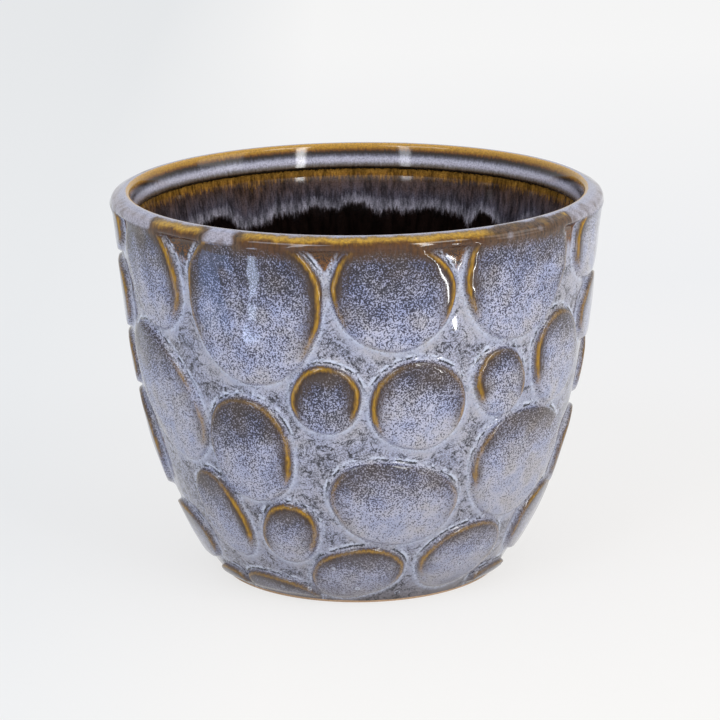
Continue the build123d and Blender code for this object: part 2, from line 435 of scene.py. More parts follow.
# the power crowds the points towards the lip, where the glaze shows most
inside_line = bezier(inside_corners, np.linspace(0, 1, 30) ** 1.2)[1:]
middle_ring = 11
inside_line = np.concatenate((inside_line, [(middle_ring, floor_height)]))
foot_line = np.array([(foot_radius - 0.45, 0), (foot_radius, 0.1), (foot_radius + 0.25, 0.35)])
ring_inside = foot_radius - foot_width
under_line = np.array([
    (20, foot_hollow),
    (ring_inside - foot_bevel, foot_hollow),
    (ring_inside, foot_hollow - foot_bevel),
    (ring_inside, foot_bevel),
    (ring_inside + foot_bevel, 0),
])
print("inside points", len(inside_line), "underside points", len(under_line))

# %% [markdown]
# ## One closed mesh
#
# The rings of the foot, the wall and the rim are joined by quads, and so are those of the
# underside and the inside. Two seams and two fans of triangles close the surface, so that it has
# an inside and an outside as a real pot has. The corners of each face run anticlockwise as seen
# from outside, which points the faces outwards.

# %% Rings and quads
def turned(line, count):
    """Rings of points: each point of a line of (radius, height), turned round the axis."""
    turn = np.arange(count) * 2 * math.pi / count
    return np.stack((line[:, :1] * np.sin(turn), -line[:, :1] * np.cos(turn),
                     np.repeat(line[:, 1:], count, 1)), -1)


def ring_faces(rows, count, first):
    """Quads between neighbouring rings, closed round the axis, facing out. The number of the
    point in a row and a column is row times count plus column, after the first."""
    row, column = np.meshgrid(np.arange(rows - 1), np.arange(count), indexing="ij")
    beside = (column + 1) % count
    corners = (row * count + column, row * count + beside,
               (row + 1) * count + beside, (row + 1) * count + column)
    return np.stack(corners, -1).reshape(-1, 4) + first


coarse = columns // 4
fine_points = np.concatenate((turned(foot_line, columns), wall_points, turned(rim_line, columns)))
fine_rows = len(fine_points)
points = np.concatenate((
    fine_points.reshape(-1, 3),
    turned(under_line, coarse).reshape(-1, 3),
    turned(inside_line, coarse).reshape(-1, 3),
    [(0, 0, foot_hollow), (0, 0, floor_height)],
))
first_under = fine_rows * columns
first_inside = first_under + len(under_line) * coarse
under_middle = first_inside + len(inside_line) * coarse
floor_middle = under_middle + 1
print(fine_rows, "fine rings,", len(points), "points")

# %% Seams, fans and the mesh
quads = np.concatenate((ring_faces(fine_rows, columns, 0),
                        ring_faces(len(under_line), coarse, first_under),
                        ring_faces(len(inside_line), coarse, first_inside)))
column = np.arange(coarse)
beside = (column + 1) % coarse
last_under = first_under + (len(under_line) - 1) * coarse
last_inside = first_inside + (len(inside_line) - 1) * coarse
top_fine = (fine_rows - 1) * columns
five_fine = np.stack([(4 * column + k) % columns for k in (4, 3, 2, 1, 0)], -1)
seam_low = np.column_stack((last_under + column, last_under + beside, five_fine))
seam_high = np.column_stack(
    (top_fine + five_fine[:, ::-1], first_inside + beside, first_inside + column))
fan_low = np.column_stack(
    (np.full(coarse, under_middle), first_under + beside, first_under + column))
fan_high = np.column_stack(
    (last_inside + column, last_inside + beside, np.full(coarse, floor_middle)))
faces = [face for part in (quads, seam_low, seam_high, fan_low, fan_high) for face in part.tolist()]

pot_mesh = bpy.data.meshes.new("glazed_pot")
pot_mesh.from_pydata((points * MM).tolist(), [], faces)
pot_mesh.validate()
pot_mesh.polygons.foreach_set("use_smooth", np.ones(len(pot_mesh.polygons), bool))
pot = bpy.data.objects.new("glazed_pot", pot_mesh)
bpy.context.scene.collection.objects.link(pot)
triangles = sum(len(p.vertices) - 2 for p in pot_mesh.polygons)
print("pot mesh:", len(points), "points,", triangles, "triangles")

# %% [markdown]
# ## What the glaze needs to know
#
# Eight numbers travel with each point of the mesh: the distance to the nearest pebble's edge, the
# distance over the rim from the band's lower edge, how strongly the glaze breaks amber at that
# edge and on the rim, how brown and how pale the face is, whether a web lies above a pebble, and
# where the clay is bare. They change slowly, so the mesh can hold them, and the fine speckle is
# left to the material.

# %% Amber and brown of each pebble
side_power = 2.2
top_power = 1.8
looks = np.array([row[6:] for row in pebble_shares])[owner]
length_in = np.maximum(np.hypot(across, up), 1e-6)
to_right, to_top = across / length_in, up / length_in
# each of the three strengths counts most where the edge faces its side: the power narrows it
gold = (looks[..., 0] * np.maximum(-to_right, 0) ** side_power
        + looks[..., 1] * np.maximum(to_right, 0) ** side_power
        + looks[..., 2] * np.maximum(to_top, 0) ** top_power)
gold *= smooth_step(to_top, -1.0, -0.1) * (0.85 + 0.3 * ripple(wall_points, 14, 5))
on_pebble = smooth_step(-pebble_edge, -0.5, 0.5)
brown = looks[..., 3] * smooth_step(up + 0.25 * ripple(wall_points, 12, 6), 0.0, 1.1) * on_pebble
above = (1 - on_pebble) * smooth_step(to_top, -0.2, 0.7)
print("share of the wall on pebbles:", round(float(on_pebble.mean()), 2))

# %% How pale faces and webs are
# a face is darker towards its top, where the glaze ran off, and painted darker on the left of the pot
# and lighter on the right, which is painted light from the right
by_pebble = np.array([paler.get(number, 0) for number in range(len(pebble_shares))])[owner]
pale = 0.52 - 0.50 * up - 0.20 * np.abs(up) + 0.16 * np.sin(azimuth) + by_pebble
pale += 0.10 * ripple(wall_points, 10, 7)
pale = np.clip(np.where(pebble_edge < 0, pale, 0), 0, 1) * on_pebble
# a web is palest close to a pebble, and more so below it than above, and it too is painted lighter on
# the right of the pot as painted light from the right
on_web = 0.90 - 0.08 * pebble_edge + 0.22 * ripple(wall_points, 10, 8) + 0.12 * np.sin(azimuth)
on_web += 0.25 * smooth_step(-to_top, 0.2, 0.9) - 0.10 * smooth_step(to_top, 0.2, 0.9)
pale += (1 - on_pebble) * np.clip(on_web, 0.40, 1)
print("mean paleness:", round(float(pale.mean()), 2))

# %% Amber round the rim
# direction and strength: strong amber in front, and faint or brown elsewhere
rim_strengths = (
    (-90, 0.1), (-55, 0.1), (-50, 1), (-39, 0.9), (-35, 0.1), (-29, 0.1), (-25, 1), (27, 1),
    (32, 0.5), (54, 0.45), (60, 0.1), (92, 0.1), (115, 0.9), (150, 0.3), (190, 0.9), (215, 0.3),
    (240, 0.8), (262, 0.1),
)
rim_gold = np.interp(np.degrees(azimuth_line), *np.array(rim_strengths).T, period=360)
# over a web the amber is fuller
web_below = smooth_step(pebble_edge[-4], -1.0, 1.5)
rim_gold = np.clip(rim_gold + 0.5 * web_below * (rim_gold > 0.3), 0, 1)
rim_gold_of_rest = np.full(len(points) - first_under, 0.8)
rim_gold_all = np.concatenate((np.tile(rim_gold, fine_rows), rim_gold_of_rest))
rim_gold_all += 0.12 * ripple(points, 5, 12)
print("share of the rim with strong amber:", round(float((rim_gold > 0.8).mean()), 2))


# %% Distance over the rim
def length_along(line, start):
    """Distance in mm along a line of (radius, height) from a starting point to each point."""
    return np.cumsum(np.hypot(*np.diff(np.concatenate(([start], line)), axis=0).T))


rim_along = length_along(rim_line, (rim_radius, band_bottom))
inside_along = rim_along[-1] + length_along(inside_line, lip_under)
print("over the rim it is", round(rim_along[-1], 1), "mm, to the floor", round(inside_along[-1]), "mm")


# %% Numbers carried by the mesh
def spread(foot, on_wall, rim, under, inside, middles):
    """One number for each point of the mesh, from what holds on each of its parts: a single
    value for the foot and the underside, one or one for each ring on the rim and inside."""
    return np.concatenate((
        np.full(len(foot_line) * columns, foot),
        np.ravel(on_wall),
        np.repeat(np.zeros(len(rim_line)) + rim, columns),
        np.full(len(under_line) * coarse, under),
        np.repeat(np.zeros(len(inside_line)) + inside, coarse),
        middles,
    )).astype(np.float32)


# off the wall the distances only say: far in on a face, far out on a web, far below the rim
far_in = -6
far_out = 5
far_below = -200
carried = {
    "edge_mm": spread(far_out, pebble_edge, far_in, far_out, far_in, (far_out, far_in)),
    "rim_mm": spread(far_below, along - wall_top, rim_along, far_below, inside_along,
                     (far_below, inside_along[-1] + middle_ring)),
    "gold": spread(0, gold, 0, 0, 0, (0, 0)),
    "brown": spread(0.5, brown, 0, 0.5, 0, (0.5, 0)),
    "pale": spread(0.4, pale, 0.7, 0.4, 0.4, (0.4, 0.4)),
    "above": spread(0, above, 0, 0, 0, (0, 0)),
    "rim_gold": rim_gold_all.astype(np.float32),
    "bare": spread(1, smooth_step(-along, -1.6, -0.6), 0, 1, 0, (1, 0)),
}
for name, values in carried.items():
    pot_mesh.attributes.new(name, "FLOAT", "POINT").data.foreach_set("value", values)
    print(f"{name:8s} from {values.min():.2f} to {values.max():.2f}")

# %% [markdown]
# ## A reactive glaze
#
# The glaze is a glassy coat over a dark iron-bearing base. Titanium and rutile float up in it
# while it melts and part into pale lavender specks. Where it runs thin, the specks are gone and
# the iron shows amber. A painted picture would fit one side only, so the glaze is made of noises
# and of the numbers that the mesh carries, which hold all round. The material follows the kiln:
# a dark base, specks of a share that varies, what collects in the webs, then amber along the
# edges, and last the bands of the rim. Each cell lays one coat over the face as it was before.

# %% Helpers for materials
def colour(hex_code, opacity=1.0):
    """An sRGB hex colour as the linear numbers that Blender's nodes take: the darkest shares are
    divided by 12.92, the others are ((share + 0.055) / 1.055) to the power 2.4."""
    parts = [int(hex_code[k:k + 2], 16) / 255 for k in (1, 3, 5)]
    linear = [p / 12.92 if p <= 0.04045 else ((p + 0.055) / 1.055) ** 2.4 for p in parts]
    return (*linear, opacity)


def add(tree, kind, inputs=None, stops=None, **settings):
    """Adds a node. Settings are its properties. Inputs are values, hex colours, sockets or whole
    nodes for its sockets: 0, 6 and 7 are the share and the two colours of a Mix node. Stops are
    a colour ramp's places, each with a hex colour and, where the coat isn't full, its opacity."""
    node = tree.nodes.new(kind)
    for name, value in settings.items():
        setattr(node, name, value)
    for name, value in (inputs or {}).items():
        if isinstance(value, bpy.types.Node):
            value = next(socket for socket in value.outputs if socket.enabled)
        if isinstance(value, bpy.types.NodeSocket):
            tree.links.new(value, node.inputs[name])
        else:
            node.inputs[name].default_value = colour(value) if isinstance(value, str) else value
    for number, (place, *shade) in enumerate(stops or ()):
        steps = node.color_ramp.elements
        step = steps[number] if number < 2 else steps.new(place)
        step.position = place
        step.color = colour(*shade)
    return node


def in_mm(low, high, *stops):
    """Stops that are given in mm, for a ramp that runs from low to high:
    the place is (mm - low) / (high - low)."""
    return [((place - low) / (high - low), *shade) for place, *shade in stops]


def new_material(name):
    """A material with an empty node tree and its output."""
    material = bpy.data.materials.new(name)
    material.use_nodes = True
    material.node_tree.nodes.clear()
    return material, material.node_tree, material.node_tree.nodes.new("ShaderNodeOutputMaterial")


print("amber in linear light:", [round(v, 3) for v in colour("#c2933a")])

# %% [markdown]
# ### What the patterns follow
#
# All patterns read Object coordinates in millimetres, so they stay on the pot, and each noise
# gets its scale from a size that a ruler could measure on the real one. Glaze flows down while
# it melts. Coordinates with the height pressed together draw a pattern out downwards, so they
# give the runs. Where a noise is added to a distance, to make an edge ragged, it moves the edge
# by half its strength too. The range that is read is moved as far, so the stops of the ramps
# are true millimetres.

# %% Coordinates, carried numbers and shared noises
speck_mm = 0.5
patch_mm = 7.692
run_mm = 0.8
height_pressed = 0.22

glaze, tree, output = new_material("reactive_lavender_amber_glaze")
place = add(tree, "ShaderNodeTexCoord")
mm = add(tree, "ShaderNodeVectorMath", {0: place.outputs["Object"], "Scale": 1 / MM}, operation="SCALE")
drawn = add(tree, "ShaderNodeVectorMath", {0: mm, 1: (1.0, 1.0, height_pressed)}, operation="MULTIPLY")
height = add(tree, "ShaderNodeSeparateXYZ", {0: mm}).outputs["Z"]
at = {name: add(tree, "ShaderNodeAttribute", attribute_name=name).outputs["Fac"] for name in carried}
specks = add(tree, "ShaderNodeTexNoise", {
    "Vector": mm, "Scale": 1 / speck_mm, "Detail": 2.0, "Roughness": 0.6})
patches = add(tree, "ShaderNodeTexNoise", {"Vector": mm, "Scale": 1 / patch_mm, "Detail": 3.0})
runs = add(tree, "ShaderNodeTexNoise", {
    "Vector": drawn, "Scale": 1 / run_mm, "Detail": 2.0, "Roughness": 0.6})
print("specks", speck_mm, "mm, patches", round(patch_mm), "mm, runs", run_mm, "mm wide")

# %% [markdown]
# ### Pale specks on a dark ground
#
# Seen close, the blue-grey is two colours: dark glass, and pale specks that parted from it. A
# point is a speck where the fine noise is over a level, and the level falls as a face gets
# paler. So one noise gives sparse specks at the top of a pebble, where the glaze ran off, and
# dense ones low on it. Both colours turn browner where the face is brown, and a broad tone that
# wanders from blue to warm keeps the faces from being all alike.

# %% Specks on the faces
speck_level = 0.57
level_fall = -0.16
level_rise = 0.04
speck_softness = 0.055

level = add(tree, "ShaderNodeMath", {0: at["pale"], 1: level_fall, 2: speck_level},
            operation="MULTIPLY_ADD")
level = add(tree, "ShaderNodeMath", {0: at["brown"], 1: level_rise, 2: level}, operation="MULTIPLY_ADD")
excess = add(tree, "ShaderNodeMath", {0: specks, 1: level}, operation="SUBTRACT")
speck = add(tree, "ShaderNodeMapRange", {
    "Value": excess, "From Min": -speck_softness, "From Max": speck_softness})
ground = add(tree, "ShaderNodeValToRGB", {0: at["pale"]}, stops=(
    (0.0, "#1c1c2a"), (0.5, "#393a4a"), (1.0, "#53545f")))
ground = add(tree, "ShaderNodeMix", {0: at["brown"], 6: ground, 7: "#40352f"}, data_type="RGBA")
light = add(tree, "ShaderNodeValToRGB", {0: at["pale"]}, stops=(
    (0.0, "#868aa5"), (0.5, "#a6a9bd"), (1.0, "#a5a6b1")))
light = add(tree, "ShaderNodeMix", {0: at["brown"], 6: light, 7: "#8a8079"}, data_type="RGBA")
face = add(tree, "ShaderNodeMix", {0: speck, 6: ground, 7: light}, data_type="RGBA")
tone = add(tree, "ShaderNodeValToRGB", {0: patches}, stops=(
    (0.36, "#e4e9f8"), (0.50, "#faf9fc"), (0.64, "#f6f0e6")))
face = add(tree, "ShaderNodeMix", {0: 1.0, 6: face, 7: tone}, data_type="RGBA", blend_type="MULTIPLY")
print("nodes after the specks:", len(tree.nodes))

# %% [markdown]
# ### Webs and foot
#
# The webs between the pebbles are a more even grey than the faces, because glaze gathers there
# and the specks crowd together. Towards the foot the face gets darker and greyer. Both are one
# colour laid over the face, with a share from the distance to the edge or from the height.

# %% Even webs and the darker grey near the foot
web_share = add(tree, "ShaderNodeMapRange", {
    "Value": at["edge_mm"], "From Min": 0.2, "From Max": 1.5, "To Max": 0.38})
face = add(tree, "ShaderNodeMix", {0: web_share, 6: face, 7: "#92939f"}, data_type="RGBA")

# the height, raised by the patches by 5 mm on the whole, is read over 80 mm
low = add(tree, "ShaderNodeMath", {0: patches, 1: 10.0, 2: height}, operation="MULTIPLY_ADD")
low = add(tree, "ShaderNodeMapRange", {"Value": low, "From Max": 80.0})
low = add(tree, "ShaderNodeValToRGB", {0: low}, stops=(
    (0.062, "#554e4e", 0.95), (0.112, "#625c60", 0.7), (0.19, "#6c6a75", 0.3),
    (0.40, "#777683", 0.16), (0.85, "#777683", 0.0)))
face = add(tree, "ShaderNodeMix", {0: low.outputs["Alpha"], 6: face, 7: low}, data_type="RGBA")
print("nodes after webs and foot:", len(tree.nodes))

# %% [markdown]
# ### Burst bubbles
#
# Gas that left the clay late burst through the glaze low on the wall, and each bubble left a
# dark dot in a pale ring. A Voronoi texture has cells 4 mm apart, and its distance draws the
# ring in each. Its random colour picks a few of the cells, and only near the foot.

# %% Rings of burst bubbles
bubble_mm = 4.0
bubbles = add(tree, "ShaderNodeTexVoronoi", {"Vector": mm, "Scale": 1 / bubble_mm, "Randomness": 1.0})
ring = add(tree, "ShaderNodeValToRGB", {0: bubbles.outputs["Distance"]}, stops=(
    (0.08, "#3a3944", 0.6), (0.13, "#5a5a66", 0.3), (0.18, "#b4b9c8", 0.7),
    (0.23, "#b4b9c8", 0.55), (0.28, "#4a4a55", 0.3), (0.36, "#4a4a55", 0.0)))
chance = add(tree, "ShaderNodeSeparateColor", {0: bubbles.outputs["Color"]}).outputs["Red"]
burst = add(tree, "ShaderNodeMapRange", {"Value": chance, "From Min": 0.55, "From Max": 0.75})
lowest = add(tree, "ShaderNodeMapRange", {"Value": height, "From Min": 30.0, "From Max": 14.0})
burst = add(tree, "ShaderNodeMath", {0: burst, 1: lowest}, operation="MULTIPLY")
burst = add(tree, "ShaderNodeMath", {0: burst, 1: ring.outputs["Alpha"]}, operation="MULTIPLY")
face = add(tree, "ShaderNodeMix", {0: burst, 6: face, 7: ring}, data_type="RGBA")
print("nodes after the bubbles:", len(tree.nodes))

# %% [markdown]
# ### Rusty glaze under the rim
#
# Between two pebbles of the top row the glaze ran off the rim into the web and stayed thin, so
# small rusty triangles hang there. They are where the distance to the rim is small and the
# point is on a web, with a lower edge that the runs make ragged.

# %% Thin brown glaze that hangs between the pebbles
hang = add(tree, "ShaderNodeMath", {0: runs, 1: 8.0, 2: at["rim_mm"]}, operation="MULTIPLY_ADD")
hang = add(tree, "ShaderNodeMapRange", {"Value": hang, "From Min": -5.5, "From Max": -2.0})
in_web = add(tree, "ShaderNodeMapRange", {"Value": at["edge_mm"], "From Min": 1.0, "From Max": 1.9})
hang = add(tree, "ShaderNodeMath", {0: hang, 1: in_web}, operation="MULTIPLY")
thin = add(tree, "ShaderNodeMix", {0: runs, 6: "#2b1503", 7: "#7d4f1c"}, data_type="RGBA")
thin = add(tree, "ShaderNodeMix", {0: speck, 6: "#241206", 7: thin}, data_type="RGBA")
face = add(tree, "ShaderNodeMix", {0: hang, 6: face, 7: thin}, data_type="RGBA")
print("nodes after the rusty webs:", len(tree.nodes))

# %% [markdown]
# ### Flecks in the webs
#
# Where two flows of glaze met in a web, the dark base shows through in strings of small flecks.
# A broad noise passes its middle value, 0.5, along winding lines, so its distance from 0.5 tells
# where the strings are, and a finer noise breaks them into flecks.

# %% Strings of dark flecks
fleck_mm = 1.25
string_mm = 5.0
flecks = add(tree, "ShaderNodeTexNoise", {
    "Vector": mm, "Scale": 1 / fleck_mm, "Detail": 4.0, "Roughness": 0.8, "Distortion": 1.0})
strings = add(tree, "ShaderNodeTexNoise", {
    "Vector": mm, "Scale": 1 / string_mm, "Detail": 3.0, "Roughness": 0.6, "Distortion": 0.6})
strings = add(tree, "ShaderNodeMath", {0: strings, 1: 0.5}, operation="SUBTRACT")
strings = add(tree, "ShaderNodeMath", {0: strings}, operation="ABSOLUTE")
strings = add(tree, "ShaderNodeMapRange", {"Value": strings, "From Min": 0.060, "From Max": 0.025})
fleck = add(tree, "ShaderNodeMapRange", {
    "Value": flecks, "From Min": 0.45, "From Max": 0.53, "To Max": 0.9})
not_pale = add(tree, "ShaderNodeMapRange", {"Value": at["pale"], "From Min": 1.0, "From Max": 0.75})
for share in (strings, not_pale, in_web):
    fleck = add(tree, "ShaderNodeMath", {0: fleck, 1: share}, operation="MULTIPLY")
face = add(tree, "ShaderNodeMix", {0: fleck, 6: face, 7: "#15131c"}, data_type="RGBA")
print("nodes after the flecks:", len(tree.nodes))

# %% [markdown]
# ### Pools and torn edges
#
# The glaze that ran off a pebble pooled against the foot of its flank, which gives each pebble a
# pale outline. Above a pebble it tore as it slid: broken dark dashes 1 mm out, and then a pale
# lip. Both are colour ramps over the distance to the edge, and noises break them up.

# %% Pale pools beside the flanks
pool = add(tree, "ShaderNodeMath", {0: specks, 1: 1.2, 2: at["edge_mm"]}, operation="MULTIPLY_ADD")
pool = add(tree, "ShaderNodeMapRange", {"Value": pool, "From Min": 0.6, "From Max": 4.6})
pool = add(tree, "ShaderNodeValToRGB", {0: pool}, stops=in_mm(
    0, 4, (0.32, "#b3bbd3", 0.0), (0.88, "#b9c0d3", 0.85),
    (1.52, "#a6adc3", 0.6), (2.48, "#9ca3ba", 0.0)))
pooled = add(tree, "ShaderNodeMapRange", {
    "Value": flecks, "From Min": 0.57, "From Max": 0.45, "To Min": 0.1, "To Max": 0.9})
not_above = add(tree, "ShaderNodeMapRange", {"Value": at["above"], "To Min": 1.0, "To Max": 0.4})
for share in (pool.outputs["Alpha"], not_above):
    pooled = add(tree, "ShaderNodeMath", {0: pooled, 1: share}, operation="MULTIPLY")
face = add(tree, "ShaderNodeMix", {0: pooled, 6: face, 7: pool}, data_type="RGBA")
print("nodes after the pools:", len(tree.nodes))

# %% Torn dashes above the pebbles
dash_mm = 2.857
torn = add(tree, "ShaderNodeMath", {0: flecks, 1: 2.0, 2: at["edge_mm"]}, operation="MULTIPLY_ADD")
torn = add(tree, "ShaderNodeMapRange", {"Value": torn, "From Min": 1.0, "From Max": 5.0})
torn = add(tree, "ShaderNodeValToRGB", {0: torn}, stops=in_mm(
    0, 4, (0.48, "#2c2d3c", 0.0), (0.80, "#14131d", 0.9), (1.28, "#14131d", 1.0),
    (1.52, "#b6bccd", 0.9), (2.00, "#b6bccd", 0.8), (2.64, "#b6bccd", 0.0)))
dashes = add(tree, "ShaderNodeTexNoise", {
    "Vector": mm, "Scale": 1 / dash_mm, "Detail": 3.0, "Roughness": 0.7})
dashes = add(tree, "ShaderNodeMapRange", {"Value": dashes, "From Min": 0.46, "From Max": 0.50})
torn_share = torn.outputs["Alpha"]
for share in (at["above"], dashes):
    torn_share = add(tree, "ShaderNodeMath", {0: torn_share, 1: share}, operation="MULTIPLY")
face = add(tree, "ShaderNodeMix", {0: torn_share, 6: face, 7: torn}, data_type="RGBA")
print("nodes after the torn dashes:", len(tree.nodes))

# %% [markdown]
# ### Amber where the glaze breaks
#
# Glaze draws back from an edge as it melts, and there the iron shows. First comes a wide brown
# shade on the pebble, in streaks that run down, and then the amber line itself on the flank. The
# number called gold says how strongly it breaks, pebble by pebble and side by side, so the
# opposite side of a pebble can stay grey as on the real one. The ramp of the line is given in
# millimetres from the pebble's edge, negative on the pebble.

# %% Brown shade beside the amber
shade = add(tree, "ShaderNodeMath", {0: runs, 1: 8.0, 2: at["edge_mm"]}, operation="MULTIPLY_ADD")
shade = add(tree, "ShaderNodeMapRange", {
    "Value": shade, "From Min": -4.0, "From Max": 3.0, "To Max": 0.92}, interpolation_type="SMOOTHSTEP")
on_face = add(tree, "ShaderNodeMapRange", {"Value": at["edge_mm"], "From Min": 0.8, "From Max": -0.2})
shade = add(tree, "ShaderNodeMath", {0: shade, 1: on_face}, operation="MULTIPLY")
shade = add(tree, "ShaderNodeMath", {0: shade, 1: at["gold"]}, operation="MULTIPLY", use_clamp=True)
face = add(tree, "ShaderNodeMix", {0: shade, 6: face, 7: "#382c27"}, data_type="RGBA")
print("nodes after the shade:", len(tree.nodes))

# %% Amber line along the flank
bead_mm = 0.9091
cross = add(tree, "ShaderNodeMath", {0: runs, 1: 1.5, 2: at["edge_mm"]}, operation="MULTIPLY_ADD")
cross = add(tree, "ShaderNodeMapRange", {"Value": cross, "From Min": -4.25, "From Max": 3.75})
flank = add(tree, "ShaderNodeValToRGB", {0: cross}, stops=in_mm(
    -5, 3, (-3.88, "#4b3c33", 0.0), (-2.68, "#3a281a", 0.5), (-1.96, "#2f1b06", 0.9),
    (-1.40, "#6b4b08"), (-0.92, "#987213"), (-0.44, "#78560c"),
    (-0.04, "#5a4a40", 0.6), (0.24, "#8a8894", 0.0)))
bead = add(tree, "ShaderNodeTexNoise", {
    "Vector": drawn, "Scale": 1 / bead_mm, "Detail": 3.0, "Roughness": 0.7})
bead = add(tree, "ShaderNodeMapRange", {
    "Value": bead, "From Min": 0.36, "From Max": 0.60, "To Min": 0.6, "To Max": 1.15})
amber = add(tree, "ShaderNodeMix", {0: 1.0, 6: flank, 7: bead}, data_type="RGBA", blend_type="MULTIPLY")
broken = add(tree, "ShaderNodeMapRange", {"Value": at["gold"], "From Min": 0.12, "From Max": 0.80})
broken = add(tree, "ShaderNodeMath", {0: flank.outputs["Alpha"], 1: broken}, operation="MULTIPLY")
face = add(tree, "ShaderNodeMix", {0: broken, 6: face, 7: amber}, data_type="RGBA")
print("nodes after the amber:", len(tree.nodes))

# %% [markdown]
# ### Bands over the rim and down the inside
#
# From the shoulder inwards the rim goes through lavender, amber, a dark band, a pale inner face and
# a dark lip, and under the lip amber and grey runs fade into a near-black dark brown. Part of it is
# painted light: the dark band on the inner face is dark brown glaze and a painted reflection of the
# dark inside, the dark lip is brown glaze at its edge and painted shadow under it, and the near black
# deep inside is painted shade and painted reflection of the dark inside. One long colour ramp over
# the distance along the section holds all of it, in millimetres. Past the lip the place on the ramp
# is pushed up and down, by the runs and by broad lobes, which makes the runs hang down ragged and of
# different lengths and the edge of the painted near black wavy. The pot was glazed in one dip, so
# the bands have the same noises as the outside.

# %% Place on the bands
lobe_mm = 18.18
ragged = add(tree, "ShaderNodeMapRange", {
    "Value": at["rim_mm"], "From Min": 15.0, "From Max": 20.0, "To Min": 1.2, "To Max": 6.0})
wander = add(tree, "ShaderNodeMath", {0: runs, 1: 0.5}, operation="SUBTRACT")
wander = add(tree, "ShaderNodeMath", {0: wander, 1: ragged, 2: at["rim_mm"]}, operation="MULTIPLY_ADD")
lobes = add(tree, "ShaderNodeTexNoise", {"Vector": drawn, "Scale": 1 / lobe_mm, "Detail": 2.0})
lobes = add(tree, "ShaderNodeMath", {0: lobes, 1: 0.5}, operation="SUBTRACT")
# the broad lobes also give a wavy edge to the painted near-black shade deep inside
deep = add(tree, "ShaderNodeMapRange", {
    "Value": at["rim_mm"], "From Min": 20.0, "From Max": 32.0, "To Max": 30.0})
wander = add(tree, "ShaderNodeMath", {0: lobes, 1: deep, 2: wander}, operation="MULTIPLY_ADD")
over_rim = add(tree, "ShaderNodeMapRange", {"Value": wander, "From Min": -5.0, "From Max": 45.0})
print("nodes after the bands' places:", len(tree.nodes))

# %% Colours of the bands
streak_mm = 2.0
# the stops from 9.7 to 10.9 mm are dark brown glaze and painted reflection of the dark inside, those
# from 15.8 to 16.9 mm painted shadow under the lip, and the last ones from 33.2 mm painted shade and
# reflection deep inside
rim_bands = add(tree, "ShaderNodeValToRGB", {0: over_rim}, stops=in_mm(
    -5, 45,
    (-0.6, "#97949f", 0.0), (0.6, "#97949f"), (3.6, "#9b98a5"), (4.8, "#9c9eb2"), (6.7, "#9fa1b5"),
    (7.1, "#bc9244"), (8.9, "#ad7f22"), (9.7, "#744809"), (10.3, "#331c08"), (10.9, "#251f1f"),
    (11.7, "#605f6c"), (12.4, "#a3a3b4"), (13.1, "#b7b6c7"), (13.9, "#a8a5b4"), (14.6, "#757071"),
    (15.2, "#54453a"), (15.8, "#352a1e"), (16.9, "#150d09"), (17.5, "#ac8038"), (19.2, "#876029"),
    (21.0, "#4e3c34"), (28.0, "#4c4852"), (30.0, "#75727d"), (32.0, "#8b8893"), (33.2, "#4a4448"),
    (34.4, "#120b09")))
rim_speck = add(tree, "ShaderNodeMapRange", {
    "Value": specks, "From Min": 0.36, "From Max": 0.60, "To Min": 0.6, "To Max": 1.05})
rim_colour = add(tree, "ShaderNodeMix", {0: 1.0, 6: rim_bands, 7: rim_speck}, data_type="RGBA",
                 blend_type="MULTIPLY")
below_lip = add(tree, "ShaderNodeMapRange", {"Value": at["rim_mm"], "From Min": 16.0, "From Max": 18.0})
streaks = add(tree, "ShaderNodeTexNoise", {
    "Vector": drawn, "Scale": 1 / streak_mm, "Detail": 3.0, "Roughness": 0.65})
streaks = add(tree, "ShaderNodeMapRange", {
    "Value": streaks, "From Min": 0.38, "From Max": 0.62, "To Min": 0.35, "To Max": 1.3})
streaked = add(tree, "ShaderNodeMix", {0: 1.0, 6: rim_colour, 7: streaks}, data_type="RGBA",
               blend_type="MULTIPLY")
rim_colour = add(tree, "ShaderNodeMix", {0: below_lip, 6: rim_colour, 7: streaked}, data_type="RGBA")
face = add(tree, "ShaderNodeMix", {0: rim_bands.outputs["Alpha"], 6: face, 7: rim_colour},
           data_type="RGBA")
print("the bands have", len(rim_bands.color_ramp.elements), "stops")

# %% [markdown]
# ### Amber on the shoulder
#
# The outer shoulder of the rim is its sharpest edge, so the glaze is thinnest there. It shows
# golden in front, with a brown drip line below, and elsewhere it is a faint brown or covered.
# The number called rim_gold says which, and the mesh carries it because it changes slowly with
# the direction. Patches and runs make the band wider here and narrower there.

# %% Amber shoulder
shoulder = add(tree, "ShaderNodeMath", {0: runs, 1: 2.0, 2: at["rim_mm"]}, operation="MULTIPLY_ADD")
shoulder = add(tree, "ShaderNodeMath", {0: patches, 1: -5.0, 2: shoulder}, operation="MULTIPLY_ADD")
shoulder = add(tree, "ShaderNodeMapRange", {"Value": shoulder, "From Min": -6.5, "From Max": 5.5})
shoulder = add(tree, "ShaderNodeValToRGB", {0: shoulder}, stops=in_mm(
    -5, 7, (-4.0, "#4a3318", 0.0), (-2.2, "#442a0e", 0.5), (-0.6, "#432504", 0.95), (1.2, "#4a2b03"),
    (2.0, "#74510d"), (2.7, "#9a7418"), (3.4, "#a68122"), (4.4, "#987730"), (5.0, "#7c663c", 0.95),
    (5.6, "#7f6f62", 0.6), (6.1, "#7f6f62", 0.0)))
strong = add(tree, "ShaderNodeMapRange", {"Value": at["rim_gold"], "From Min": 0.5, "From Max": 0.9})
faint = add(tree, "ShaderNodeMix", {0: bead, 6: "#1f150e", 7: "#4d3826"}, data_type="RGBA")
golden = add(tree, "ShaderNodeMix", {0: strong, 6: faint, 7: shoulder}, data_type="RGBA")
golden = add(tree, "ShaderNodeMix", {0: 1.0, 6: golden, 7: bead}, data_type="RGBA",
             blend_type="MULTIPLY")
